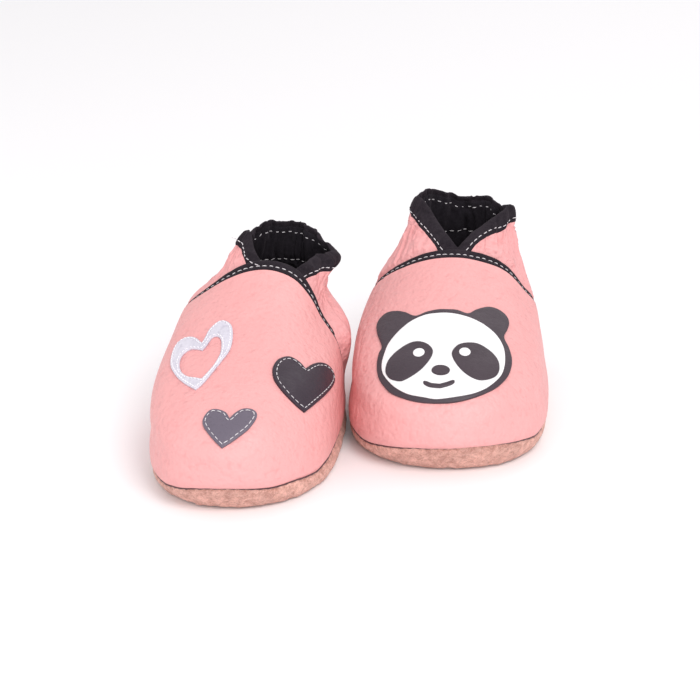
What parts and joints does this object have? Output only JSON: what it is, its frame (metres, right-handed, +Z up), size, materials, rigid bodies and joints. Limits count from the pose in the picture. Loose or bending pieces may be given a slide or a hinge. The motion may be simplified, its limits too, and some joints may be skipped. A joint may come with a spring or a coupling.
{
  "type": "pair of baby booties",
  "caption": "Pair of soft-soled leather baby booties with elastic ankle collars, black suede bands and animal-face and heart appliques.",
  "frame": {"origin": "centre of the pair's footprint on the floor, under both suede soles", "axes": "+Z up, toes towards -Y, heels towards +Y, the face bootie on +X and the hearts bootie on -X"},
  "size_m": [0.1478, 0.157, 0.0675],
  "materials": {
    "black_binding": "black suede edge band",
    "black_suede": "black suede lining",
    "charcoal_leather": "smooth charcoal leather",
    "elastic": "woven elastic tape",
    "foam": "thin foam padding under the insole",
    "grey_leather": "smooth grey leather",
    "pink_leather": "soft pebbled nappa leather, low sheen",
    "seam_thread": "dark maroon sewing thread",
    "silver_leather": "silvery white leather with tonal stitching",
    "sole_suede": "napped pink-beige suede split",
    "white_leather": "smooth white leather",
    "white_thread": "white polyester sewing thread"
  },
  "bodies": {
    "face_bootie": {"panda_channel_stitching": "white_thread", "panda_collar_binding": "black_binding", "panda_collar_stitching": "white_thread", "panda_elastic_band": "elastic", "panda_eye_glints": "white_leather", "panda_eye_patch_left": "charcoal_leather", "panda_eye_patch_right": "charcoal_leather", "panda_face": "white_leather", "panda_face_backing": "charcoal_leather", "panda_foam_pad": "foam", "panda_insole": "black_suede", "panda_mouth": "charcoal_leather", "panda_nose": "charcoal_leather", "panda_outsole": "sole_suede", "panda_quarter": "pink_leather", "panda_quarter_lining": "black_suede", "panda_sole_seam_thread": "seam_thread", "panda_vamp": "pink_leather", "panda_vamp_binding": "black_binding", "panda_vamp_lining": "black_suede", "panda_vamp_stitching": "white_thread"},
    "hearts_bootie": {"hearts_channel_stitching": "white_thread", "hearts_collar_binding": "black_binding", "hearts_collar_stitching": "white_thread", "hearts_dark_heart": "charcoal_leather", "hearts_dark_heart_stitching": "white_thread", "hearts_elastic_band": "elastic", "hearts_foam_pad": "foam", "hearts_grey_heart": "grey_leather", "hearts_grey_heart_stitching": "white_thread", "hearts_insole": "black_suede", "hearts_open_white_heart": "silver_leather", "hearts_outsole": "sole_suede", "hearts_quarter": "pink_leather", "hearts_quarter_lining": "black_suede", "hearts_sole_seam_thread": "seam_thread", "hearts_vamp": "pink_leather", "hearts_vamp_binding": "black_binding", "hearts_vamp_lining": "black_suede", "hearts_vamp_stitching": "white_thread"}
  },
  "joints": [
    {"name": "hearts_bootie_lift", "type": "slide", "parent": "face_bootie", "child": "hearts_bootie", "axis": [0, 0, 1], "range_m": [0, 0.12]}
  ]
}
